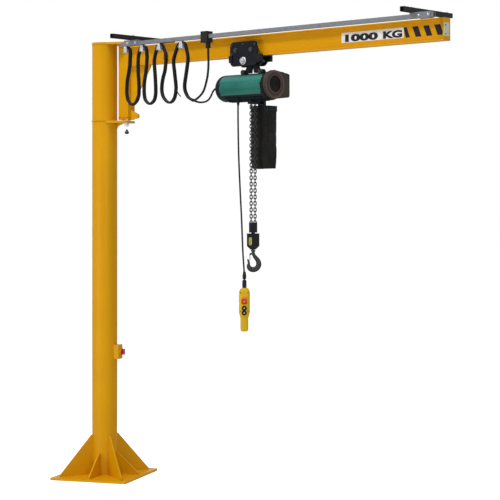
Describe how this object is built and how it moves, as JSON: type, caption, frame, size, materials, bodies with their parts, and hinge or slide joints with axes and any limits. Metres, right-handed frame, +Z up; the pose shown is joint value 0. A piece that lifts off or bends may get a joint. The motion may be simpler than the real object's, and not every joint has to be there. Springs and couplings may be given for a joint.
{
  "type": "column jib crane",
  "caption": "Free-standing column jib crane: a slewing I-beam jib with a trolley, an electric chain hoist, a festoon cable rail and a push-button pendant.",
  "frame": {"origin": "centre of the base plate's underside, on the column's axis", "axes": "+Z up along the column, +X along the jib at rest; the base plate and the pivot brackets stand turned 24 degrees from it about +Z"},
  "size_m": [4.2881, 1.0055, 3.82],
  "materials": {
    "yellow_paint": "gloss",
    "galvanised_steel": "satin",
    "black_paint": "satin",
    "black_plastic": "matt",
    "teal_paint": "gloss",
    "grey_plastic": "satin",
    "bag_fabric": "woven",
    "chain_steel": "dark",
    "hook_steel": "satin",
    "cable_rubber": "matt",
    "pendant_plastic": "gloss",
    "button_plastic": "gloss",
    "knob_plastic": "gloss",
    "wheel_iron": "machined"
  },
  "bodies": {
    "column": {"base_plate": "yellow_paint", "gussets": "yellow_paint", "column_tube": "yellow_paint", "head_plate": "yellow_paint", "lower_bracket": "yellow_paint", "pivot_pins": "galvanised_steel", "isolator_box": "yellow_paint"},
    "isolator_switch": {"isolator_knob": "knob_plastic"},
    "jib": {"jib_post": "yellow_paint", "post_end_plates": "yellow_paint", "knee_plate": "yellow_paint", "jib_beam": "yellow_paint", "beam_end_stops": "yellow_paint", "support_arms": "black_paint", "festoon_rail": "galvanised_steel", "rail_hangers": "galvanised_steel", "cable_anchor": "galvanised_steel"},
    "carrier_1": {"carrier_1": "galvanised_steel", "festoon_loop_1": "cable_rubber"},
    "carrier_2": {"carrier_2": "galvanised_steel", "festoon_loop_2": "cable_rubber"},
    "carrier_3": {"carrier_3": "galvanised_steel", "festoon_loop_3": "cable_rubber"},
    "tow_carrier": {"tow_carrier": "black_plastic", "festoon_loop_4": "cable_rubber", "hoist_feed_cable": "cable_rubber"},
    "trolley": {"trolley_plates": "black_paint", "load_bars": "galvanised_steel", "suspension_bracket": "black_paint", "hoist_body": "black_paint", "hoist_cover": "teal_paint", "end_cover": "grey_plastic", "control_box": "grey_plastic", "chain_guide": "black_paint", "bag_frame": "black_paint", "chain_bag": "bag_fabric", "load_chain": "chain_steel", "cable_entries": "black_plastic", "pendant_cable": "cable_rubber", "pendant_gland": "black_plastic", "pendant_body": "pendant_plastic", "pendant_buttons": "button_plastic"},
    "wheel_1": {"wheel_1": "wheel_iron"},
    "wheel_2": {"wheel_2": "wheel_iron"},
    "wheel_3": {"wheel_3": "wheel_iron"},
    "wheel_4": {"wheel_4": "wheel_iron"},
    "hook_block": {"chain_buffer": "black_plastic", "hook_block": "black_paint"},
    "hook": {"hook": "hook_steel"},
    "hook_latch": {"hook_latch": "hook_steel"}
  },
  "joints": [
    {"name": "isolator_turn", "type": "hinge", "parent": "column", "child": "isolator_switch", "pos_m": [0.14982, 0.06671, 1.09], "axis": [0.9135, 0.4067, 0], "range_deg": [0, 90]},
    {"name": "jib_slew", "type": "hinge", "parent": "column", "child": "jib", "pos_m": [0.19002, 0.0846, 3.44], "axis": [0, 0, 1], "range_deg": [-86, 134]},
    {"name": "trolley_travel", "type": "slide", "parent": "jib", "child": "trolley", "axis": [1, 0, 0], "range_m": [-0.56, 1.78]},
    {"name": "carrier_1_travel", "type": "slide", "parent": "jib", "child": "carrier_1", "axis": [1, 0, 0], "range_m": [-0.1206, 0.3788], "deforming": ["festoon_loop_1"]},
    {"name": "carrier_2_travel", "type": "slide", "parent": "carrier_1", "child": "carrier_2", "axis": [1, 0, 0], "range_m": [-0.1241, 0.3902], "deforming": ["festoon_loop_2"]},
    {"name": "carrier_3_travel", "type": "slide", "parent": "carrier_2", "child": "carrier_3", "axis": [1, 0, 0], "range_m": [-0.1563, 0.4924], "deforming": ["festoon_loop_3"]},
    {"name": "tow_carrier_travel", "type": "slide", "parent": "carrier_3", "child": "tow_carrier", "axis": [1, 0, 0], "range_m": [-0.167, 0.5266], "deforming": ["festoon_loop_4", "hoist_feed_cable"]},
    {"name": "wheel_1_roll", "type": "hinge", "parent": "trolley", "child": "wheel_1", "pos_m": [1.57302, 0.0596, 3.6294], "axis": [0, 1, 0], "continuous": true},
    {"name": "wheel_2_roll", "type": "hinge", "parent": "trolley", "child": "wheel_2", "pos_m": [1.74302, 0.0596, 3.6294], "axis": [0, 1, 0], "continuous": true},
    {"name": "wheel_3_roll", "type": "hinge", "parent": "trolley", "child": "wheel_3", "pos_m": [1.57302, 0.1096, 3.6294], "axis": [0, 1, 0], "continuous": true},
    {"name": "wheel_4_roll", "type": "hinge", "parent": "trolley", "child": "wheel_4", "pos_m": [1.74302, 0.1096, 3.6294], "axis": [0, 1, 0], "continuous": true},
    {"name": "hook_lift", "type": "slide", "parent": "trolley", "child": "hook_block", "axis": [0, 0, 1], "range_m": [-1.5, 0.7], "deforming": ["load_chain"]},
    {"name": "hook_swivel", "type": "hinge", "parent": "hook_block", "child": "hook", "pos_m": [1.70802, 0.0846, 1.98], "axis": [0, 0, 1], "continuous": true},
    {"name": "latch_hinge", "type": "hinge", "parent": "hook", "child": "hook_latch", "pos_m": [1.69193, 0.0711, 1.978], "axis": [-0.6428, 0.766, 0], "range_deg": [-35, 0], "stiffness_Nm_per_rad": 0.3, "springref_deg": 5.73}
  ],
  "couplings": [
    {"joint": "carrier_1_travel", "follows": "trolley_travel", "ratio": 0.2117},
    {"joint": "carrier_2_travel", "follows": "trolley_travel", "ratio": 0.2181},
    {"joint": "carrier_3_travel", "follows": "trolley_travel", "ratio": 0.2755},
    {"joint": "tow_carrier_travel", "follows": "trolley_travel", "ratio": 0.2947},
    {"joint": "wheel_1_roll", "follows": "trolley_travel", "rad_per_m": 23.585},
    {"joint": "wheel_2_roll", "follows": "trolley_travel", "rad_per_m": 23.585},
    {"joint": "wheel_3_roll", "follows": "trolley_travel", "rad_per_m": 23.585},
    {"joint": "wheel_4_roll", "follows": "trolley_travel", "rad_per_m": 23.585}
  ]
}
